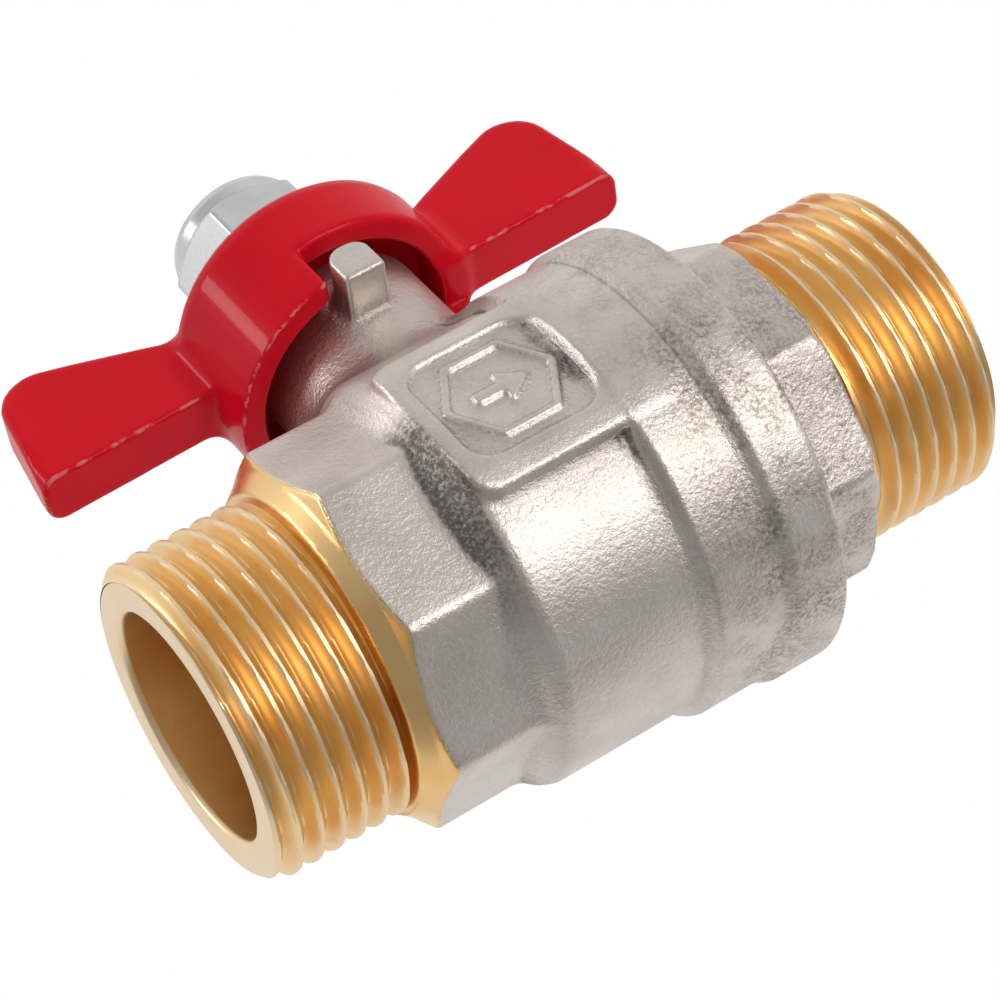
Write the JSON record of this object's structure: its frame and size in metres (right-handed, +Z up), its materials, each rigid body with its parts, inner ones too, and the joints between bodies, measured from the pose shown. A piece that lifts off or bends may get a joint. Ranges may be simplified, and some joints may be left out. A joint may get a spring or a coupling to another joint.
{
  "type": "ball valve",
  "caption": "Nickel-plated brass full bore ball valve with male pipe threads at both ends and a red butterfly handle.",
  "frame": {"origin": "centre of the ball, where the flow axis and the stem axis cross", "axes": "+X along the flow bore from the threaded end of the body to the threaded end of the connector, +Z up the stem towards the handle, -Y the front with the flat pad and the stop lug"},
  "size_m": [0.0838, 0.0472, 0.0808],
  "materials": {
    "nickel": "satin",
    "chrome": "polished",
    "brass": "satin",
    "ptfe": "matte",
    "rubber": "matte",
    "red_paint": "gloss",
    "zinc": "satin",
    "nylon": "matte"
  },
  "bodies": {
    "housing": {"body": "nickel", "end_connector": "nickel", "seat_left": "ptfe", "seat_right": "ptfe", "thrust_washer": "ptfe", "packing_ring": "ptfe", "gland_nut": "brass"},
    "operator": {"stem": "brass", "stem_o_rings": "rubber", "handle": "red_paint", "washer": "zinc", "handle_nut": "zinc", "nut_insert": "nylon"},
    "closure": {"ball": "chrome"}
  },
  "joints": [
    {"name": "handle_turn", "type": "hinge", "parent": "housing", "child": "operator", "pos_m": [0, 0, 0.036], "axis": [0, 0, 1], "range_deg": [-88, 2]},
    {"name": "ball_turn", "type": "hinge", "parent": "housing", "child": "closure", "pos_m": [0, 0, 0], "axis": [0, 0, 1], "range_deg": [-88, 2]}
  ],
  "couplings": [
    {"joint": "ball_turn", "follows": "handle_turn", "ratio": 1}
  ]
}
